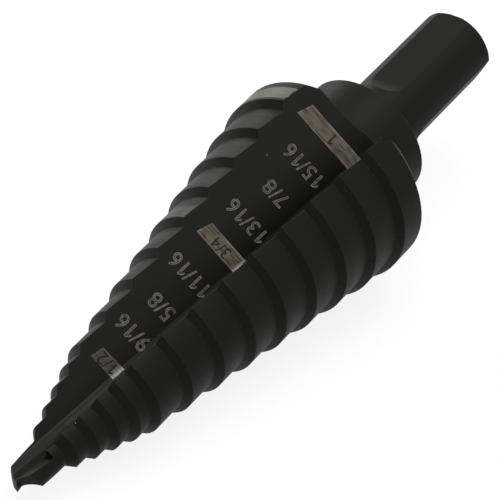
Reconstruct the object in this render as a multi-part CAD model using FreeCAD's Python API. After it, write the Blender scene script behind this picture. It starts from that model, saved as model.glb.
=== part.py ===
import FreeCAD, Part
import math
import os

# A step drill: one piece of steel, two lands with two straight flutes between them.
# It is drawn point down on the Z axis, then laid on the edges of its lower flute.

V = FreeCAD.Vector
UP = V(0, 0, 1)
HALF_TURN = 180.0
QUARTER_TURN = 90.0

# Steps: a plain tip, then diameters that grow by a sixteenth of an inch from step to step.
TIP_DIAMETER = 4.42
FIRST_DIAMETER = 6.35
DIAMETER_GROWTH = 1.5875
PILOT_STEPS = 4
SIZED_STEPS = 9

# Lengths along the axis, from the point.
FIRST_STEP_AT = 6.16
PILOT_PITCH = 2.383
SIZED_PITCH = 4.489
LAST_STEP_LENGTH = 4.34
RISER_ANGLE = 45.0
BACK_CHAMFER = 1.0

# Lands: each is ground off centre, toward its cutting edge, so that its radius falls behind it.
LAND_OFFSET = 0.203
LAND_OFFSET_TURN = 92.0
LAND_SPLIT_TURN = 62.0

# Point: a cone tilted about each lip for clearance, split by a gash along the lip.
POINT_ANGLE = 164.0
LIP_TURN = 79.0
LIP_CLEARANCE = 29.0
GASH_LENGTH = 4.1
GASH_TURN = 10.2
GASH_EDGE_X = -0.05
GASH_FLOOR_Y = 0.5
GASH_OPENING = 22.0

# Flutes: a flat floor and an undercut cutting face with a radius between, on a straight rising path.
FLUTE_CORNER_X = -0.463
FLUTE_CORNER_Y = -1.517
FLUTE_RADIUS = 1.5
FLOOR_ANGLE = 6.28
FLUTE_OPENING = 62.9
FLUTE_CLIMB = 9.22
FLUTE_DRIFT = 3.22

# Corner break at the back end of each cutting edge.
BREAK_START = 1.75
BREAK_EDGE_X = 1.35
BREAK_TURN = 30.0
BREAK_DEPTH = 3.0

# Collar and three-flat shank.
COLLAR_DIAMETER = 15.76
COLLAR_LENGTH = 6.47
COLLAR_CHAMFER = 0.25
COLLAR_FILLET = 1.0
SHANK_DIAMETER = 9.525
SHANK_LENGTH = 19.35
SHANK_FILLET = 1.0
SHANK_CHAMFER = 0.45
SHANK_FLATS = 3
FLAT_HEIGHT = 4.24
FLAT_TURN = 54.5
FLAT_START = 5.4
FLAT_RUN_OUT = 4.5

# Lying attitude: the turn about the axis that puts a flute underneath, then the axis's tilt, point down.
LYING_ROLL = 113.08
LYING_TILT = 8.0

# Derived sizes.
STEPS = PILOT_STEPS + SIZED_STEPS
TOP_DIAMETER = FIRST_DIAMETER + (STEPS - 1) * DIAMETER_GROWTH
TOP_RADIUS = TOP_DIAMETER / 2
LAST_STEP_AT = FIRST_STEP_AT + PILOT_STEPS * PILOT_PITCH + (SIZED_STEPS - 1) * SIZED_PITCH
BACK_AT = LAST_STEP_AT + LAST_STEP_LENGTH
COLLAR_END = BACK_AT + COLLAR_LENGTH
SHANK_END = COLLAR_END + SHANK_LENGTH
COLLAR_RADIUS = COLLAR_DIAMETER / 2
SHANK_RADIUS = SHANK_DIAMETER / 2
REACH = SHANK_END + TOP_DIAMETER


def turned(angle, length=1.0):
    """A vector across the axis, at an angle about it."""
    rad = math.radians(angle)
    return V(length * math.cos(rad), length * math.sin(rad), 0)


def step_start(number):
    """Where the cylinder of a step begins, the smallest step being number 0."""
    pilots = min(number, PILOT_STEPS)
    sized = max(number - PILOT_STEPS, 0)
    return FIRST_STEP_AT + pilots * PILOT_PITCH + sized * SIZED_PITCH


def revolved(points):
    """A solid of revolution about Z from (radius, height) points."""
    outline = [V(radius, 0, height) for radius, height in points]
    wire = Part.makePolygon(outline + outline[:1])
    return Part.Face(wire).revolve(V(), UP, 2 * HALF_TURN)


def stepped_body():
    """All the steps, with the radius that an off-centre land has, and the back chamfer."""
    radius = TIP_DIAMETER / 2 - LAND_OFFSET
    points = [(0, -TIP_DIAMETER), (radius, -TIP_DIAMETER)]
    for number in range(STEPS):
        start = step_start(number)
        step_radius = (FIRST_DIAMETER + number * DIAMETER_GROWTH) / 2 - LAND_OFFSET
        riser_length = (step_radius - radius) / math.tan(math.radians(RISER_ANGLE))
        points.append((radius, start - riser_length))
        points.append((step_radius, start))
        radius = step_radius
    points.append((radius, BACK_AT - BACK_CHAMFER))
    points.append((radius - BACK_CHAMFER, BACK_AT))
    points.append((0, BACK_AT))
    return revolved(points)


def point_cone():
    """The drill point's cone, tilted about the lip so that it falls away behind it."""
    slope = math.tan(math.radians(POINT_ANGLE / 2))
    cone = Part.makeCone(0, REACH * slope, REACH)
    cone.rotate(V(), turned(LIP_TURN), LIP_CLEARANCE)
    return cone


def half_space(turn):
    """A block on one side of a plane through the axis."""
    block = Part.makeBox(2 * REACH, REACH, 2 * REACH, V(-REACH, 0, -REACH))
    block.rotate(V(), UP, turn)
    return block


def land_body():
    """One of the two relieved halves, from the point to the back of the last step."""
    body = stepped_body()
    body.translate(turned(LAND_OFFSET_TURN, LAND_OFFSET))
    return body.common(point_cone()).common(half_space(LAND_SPLIT_TURN))


def collar_and_shank():
    """The collar behind the last step and the round shank, with their fillets and chamfers."""
    core = LAST_STEP_AT
    face = COLLAR_RADIUS + COLLAR_FILLET
    lip = COLLAR_RADIUS - COLLAR_CHAMFER
    root = SHANK_RADIUS + SHANK_FILLET
    bend = math.sin(math.radians(QUARTER_TURN / 2))
    edges = [
        Part.makePolygon([V(0, 0, core), V(face, 0, core), V(face, 0, BACK_AT)]),
        Part.Arc(
            V(face, 0, BACK_AT),
            V(face - COLLAR_FILLET * bend, 0, BACK_AT + COLLAR_FILLET * (1 - bend)),
            V(COLLAR_RADIUS, 0, BACK_AT + COLLAR_FILLET),
        ).toShape(),
        Part.makePolygon([
            V(COLLAR_RADIUS, 0, BACK_AT + COLLAR_FILLET),
            V(COLLAR_RADIUS, 0, COLLAR_END - COLLAR_CHAMFER),
            V(lip, 0, COLLAR_END),
            V(root, 0, COLLAR_END),
        ]),
        Part.Arc(
            V(root, 0, COLLAR_END),
            V(root - SHANK_FILLET * bend, 0, COLLAR_END + SHANK_FILLET * (1 - bend)),
            V(SHANK_RADIUS, 0, COLLAR_END + SHANK_FILLET),
        ).toShape(),
        Part.makePolygon([
            V(SHANK_RADIUS, 0, COLLAR_END + SHANK_FILLET),
            V(SHANK_RADIUS, 0, SHANK_END - SHANK_CHAMFER),
            V(SHANK_RADIUS - SHANK_CHAMFER, 0, SHANK_END),
            V(0, 0, SHANK_END),
            V(0, 0, core),
        ]),
    ]
    parts = [edge for piece in edges for edge in piece.Edges]
    return Part.Face(Part.Wire(parts)).revolve(V(), UP, 2 * HALF_TURN)


def shank_flat(turn):
    """What is ground away for one flat, with the round end that the wheel leaves."""
    start = COLLAR_END + FLAT_START
    bend = math.radians(QUARTER_TURN / 2)
    edges = [
        Part.Arc(
            V(FLAT_HEIGHT + FLAT_RUN_OUT, 0, start - FLAT_RUN_OUT),
            V(FLAT_HEIGHT + FLAT_RUN_OUT * (1 - math.cos(bend)), 0, start - FLAT_RUN_OUT * math.sin(bend)),
            V(FLAT_HEIGHT, 0, start),
        ).toShape(),
        Part.makePolygon([
            V(FLAT_HEIGHT, 0, start),
            V(FLAT_HEIGHT, 0, SHANK_END + SHANK_DIAMETER),
            V(FLAT_HEIGHT + FLAT_RUN_OUT, 0, SHANK_END + SHANK_DIAMETER),
            V(FLAT_HEIGHT + FLAT_RUN_OUT, 0, start - FLAT_RUN_OUT),
        ]),
    ]
    outline = Part.Face(Part.Wire([edge for piece in edges for edge in piece.Edges]))
    outline.translate(V(0, -SHANK_DIAMETER, 0))
    cutter = outline.extrude(V(0, 2 * SHANK_DIAMETER, 0))
    cutter.rotate(V(), UP, turn)
    return cutter


def flute():
    """One flute as a solid: floor, radius and undercut cutting face, pushed along a straight path."""
    corner = V(FLUTE_CORNER_X, FLUTE_CORNER_Y, 0)
    wall_angle = FLOOR_ANGLE + FLUTE_OPENING
    half_opening = math.radians(FLUTE_OPENING / 2)
    tangent = FLUTE_RADIUS / math.tan(half_opening)
    centre_gap = FLUTE_RADIUS / math.sin(half_opening)
    bisector = FLOOR_ANGLE + FLUTE_OPENING / 2
    on_floor = corner + turned(FLOOR_ANGLE, tangent)
    on_wall = corner + turned(wall_angle, tangent)
    bottom = corner + turned(bisector, centre_gap - FLUTE_RADIUS)
    outline = Part.Wire([
        Part.makeLine(corner + turned(FLOOR_ANGLE, REACH), on_floor),
        Part.Arc(on_floor, bottom, on_wall).toShape(),
        Part.makeLine(on_wall, corner + turned(wall_angle, REACH)),
        Part.makeLine(corner + turned(wall_angle, REACH), corner + turned(FLOOR_ANGLE, REACH)),
    ])
    drift = -math.tan(math.radians(FLUTE_DRIFT))
    climb = math.tan(math.radians(FLUTE_CLIMB))
    path = V(drift, climb, 1)
    cutter = Part.Face(outline).extrude(path * (SHANK_END + TIP_DIAMETER))
    cutter.translate(path * -TIP_DIAMETER)
    return cutter


def point_gash():
    """The notch beside one lip that leaves a steep cutting face on the tip's cylinder."""
    lean = math.tan(math.radians(GASH_TURN))
    start = -TIP_DIAMETER
    outline = [
        V(GASH_EDGE_X, GASH_FLOOR_Y, GASH_LENGTH),
        V(GASH_EDGE_X + lean * (GASH_LENGTH - start), GASH_FLOOR_Y, start),
        V(TOP_DIAMETER, GASH_FLOOR_Y, start),
        V(TOP_DIAMETER, GASH_FLOOR_Y, GASH_LENGTH),
    ]
    across = turned(QUARTER_TURN + GASH_OPENING, TOP_DIAMETER)
    return Part.Face(Part.makePolygon(outline + outline[:1])).extrude(across)


def corner_break():
    """The small bevel at the back end of one cutting edge on the last step."""
    start = LAST_STEP_AT + BREAK_START
    reach = SHANK_END - start
    slip = reach * math.tan(math.radians(BREAK_TURN))
    outline = [
        V(-BREAK_EDGE_X, TOP_RADIUS - BREAK_DEPTH, start),
        V(-BREAK_EDGE_X - slip, TOP_RADIUS - BREAK_DEPTH, start + reach),
        V(TOP_DIAMETER, TOP_RADIUS - BREAK_DEPTH, start + reach),
        V(TOP_DIAMETER, TOP_RADIUS - BREAK_DEPTH, start),
    ]
    return Part.Face(Part.makePolygon(outline + outline[:1])).extrude(V(0, TOP_DIAMETER, 0))


def opposite(shape):
    """The same shape half a turn round the axis."""
    other = shape.copy()
    other.rotate(V(), UP, HALF_TURN)
    return other


def step_drill():
    """The whole drill, point down on the Z axis."""
    land = land_body()
    body = land.fuse(opposite(land)).fuse(collar_and_shank()).removeSplitter()
    for cutter in (flute(), point_gash(), corner_break()):
        body = body.cut(cutter).cut(opposite(cutter))
    for number in range(SHANK_FLATS):
        body = body.cut(shank_flat(FLAT_TURN + number * 2 * HALF_TURN / SHANK_FLATS))
    return body.removeSplitter()


def laid_down(shape):
    """Turned and tilted onto the lower flute's edges, over the origin, with its lowest point at zero."""
    shape.rotate(V(), UP, LYING_ROLL)
    shape.rotate(V(), V(0, 1, 0), QUARTER_TURN - LYING_TILT)
    box = shape.BoundBox
    shape.translate(V(-box.Center.x, -box.Center.y, -box.ZMin))
    return shape


os.makedirs("parts", exist_ok=True)
drill = step_drill()
laid_down(drill).exportStep("parts/step_drill.step")
print("solids", len(drill.Solids), "valid", drill.isValid(), "volume mm3", round(drill.Volume, 1))
box = drill.BoundBox
print("size mm", [round(length, 2) for length in (box.XLength, box.YLength, box.ZLength)])
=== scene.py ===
# %% [markdown]
# # A step drill in black-oxide steel
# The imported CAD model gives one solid: a step drill that lies on the table with its point towards -X.
# Blender adds what a solid can't hold: the dark finish, the grinding lines, and the sizes that a laser
# has marked in the flute. Everything is in metres, and the drill itself is never moved.

# %% Load the drill
import math

import bmesh
import bpy
from mathutils import Matrix, Vector
from mathutils.bvhtree import BVHTree


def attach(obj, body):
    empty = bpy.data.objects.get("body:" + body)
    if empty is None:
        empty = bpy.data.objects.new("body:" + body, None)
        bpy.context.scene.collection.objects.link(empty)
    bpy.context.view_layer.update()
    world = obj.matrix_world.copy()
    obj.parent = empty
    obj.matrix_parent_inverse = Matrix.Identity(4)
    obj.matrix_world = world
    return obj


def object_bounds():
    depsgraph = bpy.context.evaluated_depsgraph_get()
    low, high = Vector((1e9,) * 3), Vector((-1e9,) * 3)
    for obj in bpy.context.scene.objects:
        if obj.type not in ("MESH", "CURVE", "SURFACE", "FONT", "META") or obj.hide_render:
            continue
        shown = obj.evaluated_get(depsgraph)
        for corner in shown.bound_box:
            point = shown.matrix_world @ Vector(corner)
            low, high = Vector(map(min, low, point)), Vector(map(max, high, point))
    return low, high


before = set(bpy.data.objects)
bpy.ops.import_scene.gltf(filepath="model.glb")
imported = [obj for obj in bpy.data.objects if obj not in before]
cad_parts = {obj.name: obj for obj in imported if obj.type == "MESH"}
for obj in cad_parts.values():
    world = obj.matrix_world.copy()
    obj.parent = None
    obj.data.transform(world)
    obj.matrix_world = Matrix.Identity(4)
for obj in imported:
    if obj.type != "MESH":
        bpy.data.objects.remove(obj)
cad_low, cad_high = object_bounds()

MM = 0.001

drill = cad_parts["step_drill"]
print("drill box, mm", [round((b - a) / MM, 2) for a, b in zip(cad_low, cad_high)])

# %% [markdown]
# The drill lies point down and turned about its axis, so the frame's X, Y and Z are clumsy for placing a
# mark on it. Three directions and the place of its point give it coordinates of its own, in millimetres:
# x across the flute, y out of the flute towards the viewer, and z along the axis from point to shank.

# %% The drill's own coordinates
LYING_TILT = math.radians(8.0)
LYING_ROLL = math.radians(23.08)
POINT = Vector((-40.60040, 0.0, 4.17830)) * MM
DRILL_LONG = 81.76

LEVEL = Vector((0.0, 1.0, 0.0))
ALONG = Vector((math.cos(LYING_TILT), 0.0, math.sin(LYING_TILT)))
STEEP = ALONG.cross(LEVEL)
ACROSS = LEVEL * math.cos(LYING_ROLL) + STEEP * math.sin(LYING_ROLL)
OUTWARD = STEEP * math.cos(LYING_ROLL) - LEVEL * math.sin(LYING_ROLL)
TURN = Matrix((ACROSS, OUTWARD, ALONG)).transposed()


def on_drill(x, y, z):
    return POINT + TURN @ Vector((x, y, z)) * MM


print("shank end at", [round(v, 4) for v in on_drill(0.0, 0.0, DRILL_LONG)])


# %% [markdown]
# A shader is a graph of nodes, and most of the typing goes into joining them. One small helper adds a
# node and joins or sets its inputs, so that each material below reads as a list of what it does. An
# input is named by its label, or by an underscore and its number where two inputs share a label.

# %% Helpers for node graphs
def feed(tree, value, socket):
    if isinstance(value, bpy.types.NodeSocket):
        tree.links.new(value, socket)
    else:
        socket.default_value = value


def add(tree, kind, **inputs):
    node = tree.nodes.new(kind)
    settings = {k: v for k, v in inputs.items() if hasattr(node, k) and k not in node.inputs}
    for name, value in settings.items():
        setattr(node, name, value)
    for name, value in inputs.items():
        if name not in settings:
            socket = node.inputs[int(name[1:])] if name[0] == "_" else node.inputs[name]
            feed(tree, value, socket)
    return node


def blank_tree(owner):
    owner.use_nodes = True
    owner.node_tree.nodes.clear()
    return owner.node_tree


def new_group(name, inputs, outputs):
    tree = bpy.data.node_groups.new(name, "ShaderNodeTree")
    for direction, sockets in (("INPUT", inputs), ("OUTPUT", outputs)):
        for label, kind, *value in sockets:
            socket = tree.interface.new_socket(label, in_out=direction, socket_type=kind)
            if value:
                socket.default_value = value[0]
    return tree, tree.nodes.new("NodeGroupInput").outputs, tree.nodes.new("NodeGroupOutput").inputs


# %% [markdown]
# Five kinds of step come up again and again: a sum, a noise, a range that turns one pair of limits into
# another, a mix of two tones, and a stretch of the coordinates. Each gets a word of its own.

# %% Words for the usual steps
def calc(tree, operation, *values):
    node = add(tree, "ShaderNodeMath", operation=operation)
    for socket, value in zip(node.inputs, values):
        feed(tree, value, socket)
    return node.outputs[0]


def noise(tree, place, scale, detail=2.0, roughness=0.5):
    node = add(tree, "ShaderNodeTexNoise", Vector=place, Scale=scale, Detail=detail, Roughness=roughness)
    return node.outputs[0]


def ramp(tree, value, start, end, low=0.0, high=1.0):
    return add(tree, "ShaderNodeMapRange", Value=value, _1=start, _2=end, _3=low, _4=high).outputs[0]


def mix_tones(tree, share, first, second):
    return add(tree, "ShaderNodeMix", data_type="RGBA", _0=share, _6=first, _7=second).outputs[2]


def stretch(tree, place, factors):
    return add(tree, "ShaderNodeVectorMath", operation="MULTIPLY", _0=place, _1=factors).outputs[0]


# %% [markdown]
# The first group turns Object coordinates into the drill's own millimetres. A Mapping node of type
# Texture undoes a move, a turn and a scale, which is just what is needed here. The same group tells the
# ground flute from the turned lands: the flute's floor is a plane, so a few products and sums give the
# height above it, and the far flute is the near one after half a turn. Root counts millimetres across
# the flute and drifts with it, so that lines drawn by it run along the rounded root. Away from the
# floor it is nought.

# %% The group that finds the place on the drill
FLOAT = "NodeSocketFloat"
VECTOR = "NodeSocketVector"
FLOOR_AT = -1.466
FLOOR_CLIMB = 0.1685
FLOOR_LEAN = 0.11
FLOOR_WITHIN = 0.05
FLOOR_END = 60.0
FLUTE_DRIFT = 0.0563
ROOT_DEPTH = 0.45

place_group, _, given = new_group(
    "place_on_drill", [], [("Place", VECTOR), ("Floor", FLOAT), ("Root", FLOAT), ("Along", FLOAT)]
)
object_place = add(place_group, "ShaderNodeTexCoord").outputs["Object"]
own_place = add(
    place_group, "ShaderNodeMapping", vector_type="TEXTURE", Vector=object_place,
    Location=POINT, Rotation=TURN.to_euler(), Scale=(MM, MM, MM),
).outputs[0]
x, y, z = add(place_group, "ShaderNodeSeparateXYZ", Vector=own_place).outputs
floor_height = calc(place_group, "MULTIPLY_ADD", z, FLOOR_CLIMB, FLOOR_AT)
height = calc(place_group, "SUBTRACT", y, calc(place_group, "MULTIPLY", x, FLOOR_LEAN))
which_flute = calc(place_group, "SIGN", calc(place_group, "MULTIPLY", height, floor_height))
gap = calc(place_group, "SUBTRACT", calc(place_group, "MULTIPLY", height, which_flute), floor_height)
off_floor = calc(place_group, "ABSOLUTE", gap)
on_plane = calc(place_group, "LESS_THAN", off_floor, FLOOR_WITHIN)
before_end = calc(place_group, "LESS_THAN", z, FLOOR_END)
across_flute = calc(place_group, "MULTIPLY", x, which_flute)
root = calc(place_group, "MULTIPLY_ADD", z, FLUTE_DRIFT, across_flute)
near_floor = calc(place_group, "LESS_THAN", off_floor, ROOT_DEPTH)
feed(place_group, own_place, given["Place"])
feed(place_group, calc(place_group, "MULTIPLY", on_plane, before_end), given["Floor"])
feed(place_group, calc(place_group, "MULTIPLY", root, near_floor), given["Root"])
feed(place_group, z, given["Along"])
print("place_on_drill", len(place_group.nodes), "nodes")

# %% [markdown]
# A grinding wheel leaves fine lines along its path. On the lands and the shank the path runs round the
# axis, and in the flute it runs along it. Both come from noise that is squeezed in one direction: the
# group takes the stretched coordinates and gives a fine height and a broader, patchy tone.

# %% The group for grinding lines
LINE_ROUGHNESS = 0.6
PATCH_SCALE = 0.22
PATCH_LOW, PATCH_HIGH = 0.3, 0.7

lines_group, taken, given = new_group(
    "grinding_lines", [("Stretched", VECTOR), ("Detail", FLOAT, 2.0)], [("Height", FLOAT), ("Tone", FLOAT)]
)
fine = noise(lines_group, taken["Stretched"], 1.0, taken["Detail"], LINE_ROUGHNESS)
broad = noise(lines_group, taken["Stretched"], PATCH_SCALE)
feed(lines_group, fine, given["Height"])
feed(lines_group, ramp(lines_group, broad, PATCH_LOW, PATCH_HIGH), given["Tone"])
print("grinding_lines", len(lines_group.nodes), "nodes")

# %% [markdown]
# Black oxide is a thin skin of magnetite, a dark grey that is far less shiny than bare steel. Its tone
# drifts a little from place to place. The grinding lines under it show as small changes of roughness:
# a Mix node takes the lines round the axis on the lands, and those down the flute on its floor.

# %% The steel's skin
OXIDE = (0.0078, 0.0074, 0.0054, 1.0)
OXIDE_COLD = (0.0061, 0.0059, 0.0049, 1.0)
ROUND_AXIS = (0.25, 0.25, 9.0)
DOWN_FLUTE = (7.0, 7.0, 0.22)
BLOTCH_SCALE = 0.35
BLOTCH_DETAIL = 4.0
BLOTCH_ROUGHNESS = 0.55

steel = drill.material_slots[0].material
steel.name = "black_oxide_steel"
tree = blank_tree(steel)
where = add(tree, "ShaderNodeGroup", node_tree=place_group).outputs
place = where["Place"]
wheel_path = add(
    tree, "ShaderNodeMix", data_type="VECTOR", _0=where["Floor"],
    _4=stretch(tree, place, ROUND_AXIS), _5=stretch(tree, place, DOWN_FLUTE),
).outputs[1]
lines = add(tree, "ShaderNodeGroup", node_tree=lines_group, Stretched=wheel_path).outputs
blotch = noise(tree, place, BLOTCH_SCALE, BLOTCH_DETAIL, BLOTCH_ROUGHNESS)
tint = mix_tones(tree, blotch, OXIDE_COLD, OXIDE)
print("skin so far", len(tree.nodes), "nodes")

# %% [markdown]
# The skin is thinnest on sharp edges, where the steel begins to show. The edges are also painted paler
# for the thin highlights that catch on them, so the pale tone there is worn steel and painted highlight
# together. The Bevel node looks at the corners near a point: where its normal differs from the face's
# own, the point is close to an edge. The product of the two normals falls from 1 as they part. The same
# rounded normal softens every edge by a few hundredths of a millimetre, as on the real drill.

# %% Worn edges, with painted highlights
# Pale tone for worn edges, and for the painted highlights on the edges and in the flute's root.
OXIDE_WORN_AND_HIGHLIGHT = (0.085, 0.082, 0.076, 1.0)
EDGE_ROUND = 0.06 * MM
EDGE_SAMPLES = 6
EDGE_STARTS, EDGE_FULL = 0.99, 0.86
SCUFF_SCALE = 2.3
SCUFF_DETAIL = 3.0
SCUFF_LOW, SCUFF_HIGH = 0.42, 0.62
LEAST_WEAR = 0.15

rounded = add(tree, "ShaderNodeBevel", samples=EDGE_SAMPLES, Radius=EDGE_ROUND).outputs[0]
face_normal = add(tree, "ShaderNodeNewGeometry").outputs["Normal"]
agree = add(tree, "ShaderNodeVectorMath", operation="DOT_PRODUCT", _0=rounded, _1=face_normal)
edge = ramp(tree, agree.outputs["Value"], EDGE_STARTS, EDGE_FULL)
scuffs = noise(tree, place, SCUFF_SCALE, SCUFF_DETAIL)
rubbed = ramp(tree, scuffs, SCUFF_LOW, SCUFF_HIGH, LEAST_WEAR, 1.0)
# Real wear and a painted highlight on the edges, in one mask.
edge_wear_and_glint = calc(tree, "MULTIPLY", edge, rubbed)
print("edges are rounded by", round(EDGE_ROUND / MM, 3), "mm")

# %% [markdown]
# The rounded root of the flute shows the wheel's path as thin pale lines, and one clear line where the
# root meets the floor. Their paleness is painted highlight: the light that the curved root catches, drawn
# in the colour along the grinding lines. They are strongest at the point and fade towards the shank. Each
# line is drawn by Root, the distance across the flute, so it follows the root all the way.

# %% Painted highlights along the flute's root
ROOT_FROM, ROOT_TO = 0.75, 1.95
LINES_ACROSS, LINES_ALONG = 7.0, 0.12
LINE_LOW, LINE_HIGH, LINE_BRIGHT = 0.45, 0.75, 0.35
CORNER_HALF, CORNER_FADE, CORNER_BRIGHT = 0.02, 0.13, 0.55
FADE_FROM, FADE_TO, FADE_LEAST = 8.0, 26.0, 0.2

root, along = where["Root"], where["Along"]
down_root = add(
    tree, "ShaderNodeCombineXYZ", X=calc(tree, "MULTIPLY", root, LINES_ACROSS),
    Y=calc(tree, "MULTIPLY", along, LINES_ALONG),
).outputs[0]
wheel_line_highlights = ramp(tree, noise(tree, down_root, 1.0), LINE_LOW, LINE_HIGH, 0.0, LINE_BRIGHT)
past_start = calc(tree, "GREATER_THAN", root, ROOT_FROM)
before_floor = calc(tree, "LESS_THAN", root, ROOT_TO)
in_root = calc(tree, "MULTIPLY", past_start, before_floor)
wheel_line_highlights = calc(tree, "MULTIPLY", wheel_line_highlights, in_root)
off_corner = calc(tree, "ABSOLUTE", calc(tree, "SUBTRACT", root, ROOT_TO))
corner_highlight = ramp(tree, off_corner, CORNER_HALF, CORNER_FADE, CORNER_BRIGHT, 0.0)
fading = ramp(tree, along, FADE_FROM, FADE_TO, 1.0, FADE_LEAST)
# Painted highlights in the root, fading towards the shank.
root_highlight = calc(tree, "MULTIPLY", calc(tree, "MAXIMUM", wheel_line_highlights, corner_highlight), fading)
# Worn edges and painted highlights share one pale tone.
wear_and_highlight = calc(tree, "MAXIMUM", edge_wear_and_glint, root_highlight)
worn_and_highlit = mix_tones(tree, wear_and_highlight, tint, OXIDE_WORN_AND_HIGHLIGHT)
print("root lines fade from", FADE_FROM, "to", FADE_TO, "mm")

# %% [markdown]
# Beside the root, under the cutting edge, the flute's floor is painted darker: a painted shade, nearly
# black at the root and lighter away from it. Where it is blackest the skin hardly reflects: a metal
# mirrors no more than its own colour, so a dark colour and a metallic share together take the shine
# away, and the painted shade dims the reflection as well. The strip of painted shade comes in gradually
# behind the point. Last, all of this meets in one Principled BSDF.

# %% The painted shade on the floor, and the finished skin
DARKEST, LIGHTEST = 0.35, 1.06
DARK_FROM, DARK_TO = 1.8, 7.0
STRIP_STARTS, STRIP_FULL = 14.0, 40.0
SMOOTHEST, ROUGHEST = 0.40, 0.47
STEEL_IOR = 1.45
STEEL_GLOSS = 0.16
LINE_STRENGTH = 0.12
LINE_DEEP = 0.01 * MM

# Painted shade: the floor grows darker towards the root, under the cutting edge.
painted_shade_across = ramp(tree, root, DARK_FROM, DARK_TO, DARKEST, LIGHTEST)
painted_shade_strip = calc(tree, "MULTIPLY", ramp(tree, along, STRIP_STARTS, STRIP_FULL), where["Floor"])
shade = calc(tree, "MULTIPLY_ADD", calc(tree, "SUBTRACT", painted_shade_across, 1.0), painted_shade_strip, 1.0)
colour = add(tree, "ShaderNodeVectorMath", operation="SCALE", Vector=worn_and_highlit, Scale=shade).outputs[0]
# The painted shade also takes the shine away, by a metallic share.
shade_metallic = calc(tree, "MAXIMUM", calc(tree, "SUBTRACT", 1.0, shade), 0.0)
rough = ramp(tree, lines["Tone"], 0.0, 1.0, SMOOTHEST, ROUGHEST)
bump = add(
    tree, "ShaderNodeBump", Height=lines["Height"], Normal=rounded, Strength=LINE_STRENGTH,
    Distance=LINE_DEEP,
)
skin = add(
    tree, "ShaderNodeBsdfPrincipled", Roughness=rough, Normal=bump.outputs[0], IOR=STEEL_IOR,
    **{"Base Color": colour, "Metallic": shade_metallic, "Specular IOR Level": STEEL_GLOSS},
)
add(tree, "ShaderNodeOutputMaterial", Surface=skin.outputs[0])
print("steel material", len(tree.nodes), "nodes")

# %% [markdown]
# A laser burns the oxide off and leaves a pale, slightly brown scale. Its beam goes to and fro, so the
# marks show fine streaks along their length, and a slow cloud makes some of them duller than others.
# An attribute says how far a mark is paler still, at its rim and at a painted highlight; a mark without it
# has none.

# %% How a laser mark looks
# Pale tone of a band's rim and of its painted highlight.
LASER_RIM_AND_HIGHLIGHT = (0.480, 0.445, 0.385, 1.0)
BEAM_SWEEP = (0.5, 0.5, 5.0)
STREAK_DETAIL = 4.0
CLOUD_SCALE = 0.9
CLOUD_SHARE, STREAK_SHARE, MIX_START = 1.6, 3.8, -2.0
BROKEN_LOW, BROKEN_HIGH, BROKEN_LEAST = 0.35, 0.60, 0.45
STREAK_STRENGTH = 0.3
STREAK_DEEP = 0.02 * MM
MARK_GLOSS = 0.2


def marked_metal(name, pale, dull, roughness, shine):
    material = bpy.data.materials.new(name)
    tree = blank_tree(material)
    place = add(tree, "ShaderNodeGroup", node_tree=place_group).outputs["Place"]
    sweep = stretch(tree, place, BEAM_SWEEP)
    streaks = add(
        tree, "ShaderNodeGroup", node_tree=lines_group, Stretched=sweep, Detail=STREAK_DETAIL
    ).outputs["Height"]
    share = calc(tree, "MULTIPLY_ADD", noise(tree, place, CLOUD_SCALE), CLOUD_SHARE, MIX_START)
    share = calc(tree, "MULTIPLY_ADD", streaks, STREAK_SHARE, share)
    inner = mix_tones(tree, share, dull, pale)
    # Paler at the rim, and at a painted highlight near the cutting edge.
    rim_and_highlight = add(tree, "ShaderNodeAttribute", attribute_name="rim_and_highlight").outputs["Fac"]
    broken = ramp(tree, streaks, BROKEN_LOW, BROKEN_HIGH, BROKEN_LEAST, 1.0)
    colour = mix_tones(tree, calc(tree, "MULTIPLY", rim_and_highlight, broken), inner, LASER_RIM_AND_HIGHLIGHT)
    bump = add(tree, "ShaderNodeBump", Height=streaks, Strength=STREAK_STRENGTH, Distance=STREAK_DEEP)
    skin = add(
        tree, "ShaderNodeBsdfPrincipled", Roughness=roughness, Normal=bump.outputs[0],
        **{"Base Color": colour, "Metallic": shine, "Specular IOR Level": MARK_GLOSS},
    )
    add(tree, "ShaderNodeOutputMaterial", Surface=skin.outputs[0])
    print(name, len(tree.nodes), "nodes")
    return material


# %% [markdown]
# The numbers on bare oxide are pale too, and those on a band are dark, because the laser spared them.
# Each kind of mark has a paler and a duller tone, a roughness and a metallic share of its own.

# %% One material for each kind of mark
LASER_PALE = (0.127, 0.105, 0.076, 1.0)
LASER_WEAK = (0.070, 0.060, 0.047, 1.0)
LASER_BROWN = (0.030, 0.021, 0.012, 1.0)
LASER_FIGURE = (0.260, 0.240, 0.205, 1.0)
# A laser band on the far land, painted paler for the highlight that lies there.
LASER_SIDE_HIGHLIT = (0.150, 0.145, 0.123, 1.0)
LASER_SIDE_DIM = (0.050, 0.050, 0.043, 1.0)
LASER_FILL = (0.065, 0.057, 0.047, 1.0)
FIGURE_DARK = (0.0048, 0.0047, 0.0044, 1.0)
FIGURE_DARKER = (0.0034, 0.0034, 0.0036, 1.0)

band_metal = marked_metal("laser_band", LASER_PALE, LASER_BROWN, roughness=0.42, shine=0.35)
figure_metal = marked_metal("laser_figure", LASER_FIGURE, LASER_PALE, roughness=0.5, shine=0.2)
weak_band_metal = marked_metal("laser_band_weak", LASER_WEAK, LASER_BROWN, roughness=0.42, shine=0.35)
highlit_side_metal = marked_metal("laser_side_band", LASER_SIDE_HIGHLIT, LASER_PALE, roughness=0.40, shine=0.2)
dim_side_metal = marked_metal("laser_side_band_dim", LASER_SIDE_DIM, OXIDE, roughness=0.40, shine=0.1)
fill_metal = marked_metal("laser_fill", LASER_FILL, LASER_BROWN, roughness=0.5, shine=0.1)
dark_metal = marked_metal("figure_on_band", FIGURE_DARK, FIGURE_DARKER, roughness=0.5, shine=0.0)

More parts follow.
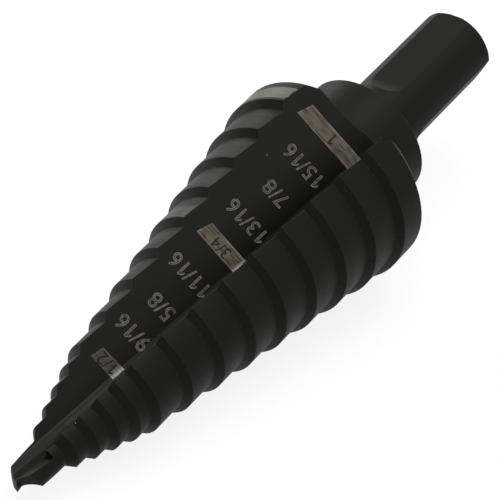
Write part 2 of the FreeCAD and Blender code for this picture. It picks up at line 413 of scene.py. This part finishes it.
# %% [markdown]
# Marks have no thickness, so each is a thin sheet that follows the steel one or two hundredths of a
# millimetre above it. To lay a flat sheet on the flute, every corner is sent straight down the floor's
# normal until it meets the steel. A tree of the drill's triangles (a BVH) answers such questions quickly.

# %% Lay a flat sheet on the flute
DROP_FROM = 4.0 * MM
FLOOR_NORMAL = Vector((-FLOOR_LEAN, 1.0, -FLOOR_CLIMB)).normalized()
FLOOR_OUT = TURN @ FLOOR_NORMAL

steel_faces = BVHTree.FromPolygons(
    [v.co.copy() for v in drill.data.vertices], [tuple(p.vertices) for p in drill.data.polygons]
)


def on_floor(x, z):
    return on_drill(x, FLOOR_AT + FLOOR_CLIMB * z + FLOOR_LEAN * x, z)


def meet_steel(spot, outward, height):
    hit, normal, _, _ = steel_faces.ray_cast(spot + outward * height, -outward)
    return hit, normal


def drop_on_floor(spot, lift):
    hit, normal = meet_steel(spot, FLOOR_OUT, DROP_FROM)
    return hit + normal * lift


print("floor normal", [round(v, 3) for v in FLOOR_NORMAL])

# %% [markdown]
# Every mark becomes a piece in the same way: its mesh gets a material and rides on the drill's body. A
# sheet that was laid as a grid is first turned over if most of it faces into the steel, because a viewer
# may hide faces that point away from it. It is shaded smooth.

# %% From mesh to piece
def add_piece(name, mesh, material):
    piece = bpy.data.objects.new(name, mesh)
    bpy.context.scene.collection.objects.link(piece)
    mesh.materials.append(material)
    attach(piece, "root")


def add_sheet(name, form, outward, material):
    bmesh.ops.recalc_face_normals(form, faces=form.faces)
    if sum(face.normal.dot(outward) for face in form.faces) < 0:
        bmesh.ops.reverse_faces(form, faces=form.faces)
    mesh = bpy.data.meshes.new(name)
    form.to_mesh(mesh)
    form.free()
    for face in mesh.polygons:
        face.use_smooth = True
    add_piece(name, mesh, material)
    print(name, len(mesh.polygons), "faces")


# %% [markdown]
# Three bands tell the user where the main sizes begin: 1/2, 3/4 and 1 inch. Each is a grid of small
# squares, stretched over four measured corners. The laser lingers on the rim, which is paler. The end
# near the cutting edge is paler too: a painted highlight, where the facet there catches the light. So
# each corner of a square keeps how much paler it is as an attribute.

# %% How pale a band is
RIM_WIDE = 0.22 * MM
END_STEEP = 1.6
END_HIGHLIGHT = 0.85
HALF_CORNERS = ((0.30, 15.72), (4.15, 15.66), (3.83, 17.26), (0.30, 17.40))
THREE_QUARTERS_CORNERS = ((-0.75, 33.70), (5.67, 33.72), (5.10, 35.68), (-0.85, 35.66))
ONE_CORNERS = ((-1.75, 51.96), (7.19, 51.93), (6.61, 53.94), (-1.85, 53.98))


def paleness(s, t, corners, highlight_end, bright_rim):
    length = (corners[1][0] - corners[0][0]) * MM
    width = (corners[3][1] - corners[0][1]) * MM
    from_rim = min(s * length, (1.0 - s) * length, t * width, (1.0 - t) * width)
    rim = bright_rim * max(0.0, 1.0 - from_rim / RIM_WIDE)
    # The end near the cutting edge carries a painted highlight.
    end = min(1.0, max(0.0, END_STEEP - END_STEEP * s / highlight_end))
    return max(rim, END_HIGHLIGHT * end)


print("a band's pale rim is", round(RIM_WIDE / MM, 2), "mm wide")

# %% [markdown]
# The grid is then dropped on the steel. Under the cutting edge the first squares meet the undercut face,
# where they stay as a small patch, and the next ones the floor. A square between the two would hang in
# the air: its corners lie far apart, and it is taken out. Each row below gives a band's name and corners,
# how far the painted highlight at the end reaches as a share of the length, how pale the rim is, and the
# material.

# %% The three bands
BAND_LIFT = 0.008 * MM
ACROSS_CELLS = 90
ALONG_CELLS = 20
HANGING = 0.45 * MM
BANDS = (
    ("band_half", HALF_CORNERS, 0.36, 0.08, weak_band_metal),
    ("band_three_quarters", THREE_QUARTERS_CORNERS, 0.14, 0.26, band_metal),
    ("band_one", ONE_CORNERS, 0.02, 0.30, band_metal),
)


def between(start, end, share):
    return [a + (b - a) * share for a, b in zip(start, end)]


def make_band(name, corners, highlight_end, bright_rim, material):
    form = bmesh.new()
    bmesh.ops.create_grid(form, x_segments=ACROSS_CELLS, y_segments=ALONG_CELLS, size=0.5)
    rim_and_highlight = form.verts.layers.float.new("rim_and_highlight")
    for v in form.verts:
        s, t = v.co.x + 0.5, v.co.y + 0.5
        v[rim_and_highlight] = paleness(s, t, corners, highlight_end, bright_rim)
        low = between(corners[0], corners[1], s)
        high = between(corners[3], corners[2], s)
        x, z = between(low, high, t)
        v.co = drop_on_floor(on_floor(x, z), BAND_LIFT)
    hanging = [f for f in form.faces if max(e.calc_length() for e in f.edges) > HANGING]
    bmesh.ops.delete(form, geom=hanging, context="FACES")
    add_sheet(name, form, FLOOR_OUT, material)


for name, corners, highlight_end, bright_rim, material in BANDS:
    make_band(name, corners, highlight_end, bright_rim, material)

# %% [markdown]
# Two of the bands carry on round the land behind the flute, so that the size shows from the side too.
# The one at 1 inch is a real laser band, painted paler by a painted highlight where that land catches the
# light.
# They are strips on the turned cylinder, from the land's heel to past the drill's outline, and are
# dropped on the steel towards the axis. A corner that meets the steel at a slant, or misses it, has left
# the cylinder and is taken out.

# %% The bands on the left land
HEEL_AT = math.radians(43.5)
PAST_OUTLINE = math.radians(-25.0)
ROUND_CELLS = 60
LAND_CELLS = 8
OUTSIDE = 20.0 * MM
SQUARE_ON = 0.9
LAND_OUT = TURN @ Vector((1.0, 0.2, 0.0))
LAND_BANDS = (
    ("land_band_three_quarters", 33.72, 35.66, dim_side_metal),
    ("land_band_one", 51.95, 53.95, highlit_side_metal),
)


def make_land_band(name, start, end, material):
    form = bmesh.new()
    bmesh.ops.create_grid(form, x_segments=ROUND_CELLS, y_segments=LAND_CELLS, size=0.5)
    lost = []
    for v in form.verts:
        turn = HEEL_AT + (PAST_OUTLINE - HEEL_AT) * (v.co.x + 0.5)
        z = start + (end - start) * (v.co.y + 0.5)
        outward = TURN @ Vector((math.cos(turn), math.sin(turn), 0.0))
        hit, normal = meet_steel(on_drill(0.0, 0.0, z), outward, OUTSIDE)
        if hit is None or normal.dot(outward) < SQUARE_ON:
            lost.append(v)
        else:
            v.co = hit + normal * BAND_LIFT
    bmesh.ops.delete(form, geom=lost, context="VERTS")
    add_sheet(name, form, LAND_OUT, material)


for name, start, end, material in LAND_BANDS:
    make_land_band(name, start, end, material)

# %% [markdown]
# The sizes are written as plain figures. Blender's own font draws the figure 1 as a plain bar, while the
# real marks have a flag on it. So each 1 gets one: the loose parts of the flat mesh, in order from left
# to right, are the characters, and the flag is one more face at the top of the bar.

# %% A flag for each 1
FLAG_REACH = 0.22
FLAG_DROP = 0.20
FLAG_THICK = 0.17


def loose_parts(form):
    left, found = set(form.verts), []
    while left:
        front = [left.pop()]
        part = set(front)
        while front:
            for edge in front.pop().link_edges:
                for v in edge.verts:
                    if v not in part:
                        part.add(v)
                        front.append(v)
        left -= part
        found.append(part)
    return sorted(found, key=lambda part: min(v.co.x for v in part))


def flag_a_one(form, part):
    x = min(v.co.x for v in part)
    top = max(v.co.y for v in part)
    tall = top - min(v.co.y for v in part)
    tip = x - FLAG_REACH * tall
    low = top - FLAG_DROP * tall
    thick = FLAG_THICK * tall
    corners = ((x, top), (tip, low), (tip, low - thick), (x, top - thick))
    form.faces.new([form.verts.new((u, v, 0.0)) for u, v in corners])


# %% [markdown]
# Text starts as a curve, is made a mesh, and only then goes to its place. The curve's offset makes the
# strokes bolder or thinner. Doubled corners are merged, so that each character is one loose part.

# %% Figures as flat meshes
FIGURE_SPREAD = 1.03
CURVE_STEPS = 4
WELD = 1e-7


def flat_figures(text, em, bold):
    curve = bpy.data.curves.new("figures", "FONT")
    curve.body = text
    curve.size = em
    curve.space_character = FIGURE_SPREAD
    curve.offset = bold
    curve.align_x = "CENTER"
    curve.align_y = "CENTER"
    curve.resolution_u = CURVE_STEPS
    writing = bpy.data.objects.new("writing", curve)
    bpy.context.scene.collection.objects.link(writing)
    bpy.context.view_layer.update()
    mesh = bpy.data.meshes.new_from_object(writing.evaluated_get(bpy.context.evaluated_depsgraph_get()))
    bpy.data.objects.remove(writing)
    bpy.data.curves.remove(curve)
    form = bmesh.new()
    form.from_mesh(mesh)
    bmesh.ops.remove_doubles(form, verts=form.verts, dist=WELD)
    for letter, part in zip(text, loose_parts(form)):
        if letter == "1":
            flag_a_one(form, part)
    return form, mesh


# %% [markdown]
# The laser went round each figure first and filled it more weakly, so a figure on bare oxide is a pale
# shape with a duller, thinner one on top. The figures read from the cutting edge towards the heel, with
# their tops towards the point. Their corners are dropped on the steel as well, so that they stay on it
# where the flute curves.

# %% The figures on the steel
FIGURE_EM = 2.60 * MM
ON_BAND_EM = 0.78 * FIGURE_EM
FIGURE_NARROW = 0.93
FIGURE_LIFT = 0.012 * MM
FILL_LIFT = 1.4 * FIGURE_LIFT
OUTLINE_BOLD = 0.016 * MM
FILL_BOLD = -0.050 * MM
RIGHT_ON_FLOOR = Vector((1.0, FLOOR_LEAN, 0.0)).normalized()
FIGURES_RIGHT = TURN @ RIGHT_ON_FLOOR
FIGURES_UP = TURN @ FLOOR_NORMAL.cross(RIGHT_ON_FLOOR)
FIGURES = (
    ("15/16", 2.54, 48.30), ("7/8", 2.55, 43.61), ("13/16", 2.62, 38.94),
    ("11/16", 2.85, 29.88), ("5/8", 2.56, 25.12), ("9/16", 2.77, 20.84),
)
FIGURES_ON_BANDS = (("1", 2.43, 53.0, 0.018 * MM), ("3/4", 2.55, 34.6, 0.0), ("1/2", 2.35, 16.5, 0.0))


def write_figures(kind, text, x, z, em, bold, material, lift):
    name = kind + "_" + text.replace("/", "_")
    form, mesh = flat_figures(text, em, bold)
    centre = on_floor(x, z)
    for v in form.verts:
        spot = centre + FIGURES_RIGHT * v.co.x * FIGURE_NARROW + FIGURES_UP * v.co.y
        v.co = drop_on_floor(spot, lift)
    bmesh.ops.recalc_face_normals(form, faces=form.faces)
    for face in form.faces:
        if face.normal.dot(FLOOR_OUT) < 0:
            face.normal_flip()
    form.to_mesh(mesh)
    form.free()
    mesh.name = name
    add_piece(name, mesh, material)
    print(name, len(mesh.polygons), "faces")


for text, x, z in FIGURES:
    write_figures("figures", text, x, z, FIGURE_EM, OUTLINE_BOLD, figure_metal, FIGURE_LIFT)
    write_figures("fill", text, x, z, FIGURE_EM, FILL_BOLD, fill_metal, FILL_LIFT)
for text, x, z, bold in FIGURES_ON_BANDS:
    write_figures("figures", text, x, z, ON_BAND_EM, bold, dark_metal, BAND_LIFT + FIGURE_LIFT)

# %% [markdown]
# Two specks of dust lie on the steel, one in the flute and one on the near land. Each is a tiny disc
# that lies flat where a ray from outside meets the steel. Dust is pale and dull, and a fine noise stands
# for its fluff.

# %% Dust
SPECK_SIZE = 0.055 * MM
SPECK_CORNERS = 10
SPECKS = ((6.19, 45.81), (0.30, 7.98))
DUST_GREY = (0.38, 0.36, 0.33, 1.0)
DUST_PALE = (0.52, 0.50, 0.47, 1.0)
DUST_GRAIN = 20.0
DUST_ROUGHNESS = 0.8

dust = bpy.data.materials.new("pale_dust")
tree = blank_tree(dust)
fluff = noise(tree, add(tree, "ShaderNodeGroup", node_tree=place_group).outputs["Place"], DUST_GRAIN)
colour = mix_tones(tree, fluff, DUST_GREY, DUST_PALE)
skin = add(tree, "ShaderNodeBsdfPrincipled", Roughness=DUST_ROUGHNESS, **{"Base Color": colour})
add(tree, "ShaderNodeOutputMaterial", Surface=skin.outputs[0])


def add_speck(name, x, z):
    hit, normal = meet_steel(on_drill(x, 0.0, z), OUTWARD, OUTSIDE)
    facing = normal.to_track_quat("Z", "Y").to_matrix()
    form = bmesh.new()
    bmesh.ops.create_circle(form, cap_ends=True, segments=SPECK_CORNERS, radius=SPECK_SIZE)
    for v in form.verts:
        v.co = hit + normal * FIGURE_LIFT + facing @ v.co
    mesh = bpy.data.meshes.new("speck")
    form.to_mesh(mesh)
    form.free()
    add_piece(name, mesh, dust)
    print(name, "at", [round(v / MM, 1) for v in hit], "mm")


for number, (x, z) in enumerate(SPECKS):
    add_speck("speck_%d" % number, x, z)

# %% [markdown]
# The drill lies on a plain white table. Its top is set at the drill's lowest point, so that the edges of
# the drill touch it. It is far wider than the picture, and is no part of the object.

# %% The table
TABLE_HALF = 3.0

form = bmesh.new()
bmesh.ops.create_grid(form, x_segments=1, y_segments=1, size=TABLE_HALF)
bmesh.ops.translate(form, verts=form.verts, vec=(0.0, 0.0, cad_low[2]))
mesh = bpy.data.meshes.new("table_top")
form.to_mesh(mesh)
form.free()
table_top = bpy.data.objects.new("table_top", mesh)
bpy.context.scene.collection.objects.link(table_top)
print("table", 2 * TABLE_HALF, "m wide, top at", round(cad_low[2] / MM, 3), "mm")

# %% [markdown]
# The camera sees the table as white by the table's own glow, and not by more light on the drill. In
# reflections the table is dimmer than the room. Only a patch of it behind the drill is brighter, and the
# lands on that side mirror it.

# %% The table's white
TABLE_GLOW = 0.42
PATCH_GLOW = 0.85
PATCH_AT = (0.0, 0.07, 0.0)
PATCH_CORE = 0.02
PATCH_REACH = 0.085
CAMERA_GLOW = 0.85
CHALK = (0.20, 0.20, 0.20, 1.0)
WHITE = (1.0, 1.0, 1.0, 1.0)


def mirrored_share(tree, ray):
    return calc(tree, "MAXIMUM", ray["Is Glossy Ray"], ray["Is Transmission Ray"])


white = bpy.data.materials.new("white_table")
tree = blank_tree(white)
ray = add(tree, "ShaderNodeLightPath").outputs
table_place = add(tree, "ShaderNodeTexCoord").outputs["Object"]
from_patch = add(tree, "ShaderNodeVectorMath", operation="DISTANCE", _0=table_place, _1=PATCH_AT)
patch = ramp(tree, from_patch.outputs["Value"], PATCH_CORE, PATCH_REACH, PATCH_GLOW, TABLE_GLOW)
mirror_glow = calc(tree, "MULTIPLY", mirrored_share(tree, ray), patch)
seen = calc(tree, "MULTIPLY_ADD", ray["Is Camera Ray"], CAMERA_GLOW, mirror_glow)
chalk = add(tree, "ShaderNodeBsdfDiffuse", Color=CHALK)
glow = add(tree, "ShaderNodeEmission", Color=WHITE, Strength=seen)
both = add(tree, "ShaderNodeAddShader", _0=chalk.outputs[0], _1=glow.outputs[0])
add(tree, "ShaderNodeOutputMaterial", Surface=both.outputs[0])
table_top.data.materials.append(white)
print("white_table", len(tree.nodes), "nodes")

# %% [markdown]
# Around the table is an even white room, made by the world. It lights the drill plainly, and the camera
# sees it as white. The steel mirrors it as brightest overhead, and a little dimmer at the sides.

# %% The room
AMBIENT = 0.50
BACKDROP = 1.0
WALL_LEVEL = 0.52
WALL_SLOPE = (0.05, -0.03, 0.34)

world = bpy.data.worlds.new("studio")
bpy.context.scene.world = world
tree = blank_tree(world)
ray = add(tree, "ShaderNodeLightPath").outputs
towards = add(tree, "ShaderNodeTexCoord").outputs["Generated"]
slope = add(tree, "ShaderNodeVectorMath", operation="DOT_PRODUCT", _0=towards, _1=WALL_SLOPE)
walls = calc(tree, "ADD", slope.outputs["Value"], WALL_LEVEL)
ambient = add(tree, "ShaderNodeBackground", Color=WHITE, Strength=AMBIENT).outputs[0]
room = add(tree, "ShaderNodeBackground", Color=WHITE, Strength=walls).outputs[0]
backdrop = add(tree, "ShaderNodeBackground", Color=WHITE, Strength=BACKDROP).outputs[0]
around = add(tree, "ShaderNodeMixShader", _0=mirrored_share(tree, ray), _1=ambient, _2=room)
sky = add(tree, "ShaderNodeMixShader", _0=ray["Is Camera Ray"], _1=around.outputs[0], _2=backdrop)
add(tree, "ShaderNodeOutputWorld", Surface=sky.outputs[0])
print("room", len(tree.nodes), "nodes")

# %% [markdown]
# Two soft boxes add to the room's even light. A large one hangs overhead and lays a soft sheen on all
# that faces up, with the brightest line in the flute's rounded root. A long, low one stands behind the
# drill, and the land on the far side of the flute mirrors it.

# %% Soft boxes
LOOK_AT = on_drill(0.0, 0.0, 42.0)


def soft_box(name, direction, distance, size, power):
    lamp = bpy.data.lights.new(name, "AREA")
    lamp.shape = "RECTANGLE"
    lamp.size, lamp.size_y = size
    lamp.energy = power
    holder = bpy.data.objects.new(name, lamp)
    bpy.context.scene.collection.objects.link(holder)
    away = Vector(direction).normalized()
    holder.location = LOOK_AT + away * distance
    holder.rotation_euler = away.to_track_quat("Z", "Y").to_euler()
    print(name, "of", power, "W at", distance, "m")


soft_box("back_box", direction=(0.60, 0.79, 0.02), distance=0.60, size=(0.50, 0.20), power=0.85)
soft_box("overhead_box", direction=(0.06, 0.05, 1.0), distance=0.80, size=(0.66, 0.66), power=3.4)

# %% [markdown]
# The camera stands where the photographer's stood: above and to the front left, a little over forty
# degrees up, and close enough for the nearer point to look larger than it would beside the shank. Its
# matrix is built from the direction to the right of the picture and the direction up.

# %% Camera
IMAGE_SIZE = 500
FOCAL_PIXELS = 2366.9
SENSOR = 36.0
NEAR, FAR = 0.01, 20.0
CAMERA_AT = Vector((-169.9078, -85.6664, 189.4722)) * MM
PICTURE_RIGHT = Vector((0.575857, -0.802109, 0.158144))
PICTURE_UP = Vector((0.499958, 0.498554, 0.708157))

lens = bpy.data.cameras.new("camera")
lens.sensor_width = SENSOR
lens.lens = FOCAL_PIXELS * SENSOR / IMAGE_SIZE
lens.clip_start, lens.clip_end = NEAR, FAR
camera = bpy.data.objects.new("camera", lens)
bpy.context.scene.collection.objects.link(camera)
facing = Matrix((PICTURE_RIGHT, PICTURE_UP, PICTURE_RIGHT.cross(PICTURE_UP))).transposed()
camera.matrix_world = Matrix.Translation(CAMERA_AT) @ facing.to_4x4()
bpy.context.scene.camera = camera
bpy.context.scene.view_settings.view_transform = "Standard"
print("lens", round(lens.lens, 1), "mm")
